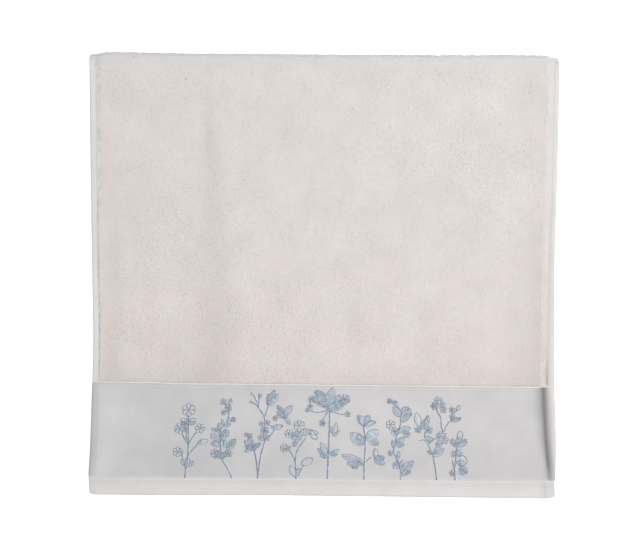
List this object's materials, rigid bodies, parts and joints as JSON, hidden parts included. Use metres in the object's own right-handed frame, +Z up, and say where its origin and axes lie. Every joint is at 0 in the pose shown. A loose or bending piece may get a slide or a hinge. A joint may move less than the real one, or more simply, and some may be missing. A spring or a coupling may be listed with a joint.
{
  "type": "hand towel",
  "caption": "Terry hand towel folded once across, lying flat, with a flat woven band, corded edge and hem along its front end.",
  "frame": {"origin": "on the resting surface, under the middle of the folded towel", "axes": "+X along the towel's width to the right as seen from the front, +Y from the front hem to the fold, +Z up"},
  "size_m": [0.5052, 0.4796, 0.0128],
  "materials": {
    "terry": "soft cotton terry pile on both faces, warm off-white",
    "band": "flat satin-woven cotton, pale cool grey, with plain woven selvages and a whiter hem",
    "embroidery": "satin-stitched thread, dusty slate blue"
  },
  "bodies": {
    "root": {"towel": "terry"}
  },
  "joints": []
}
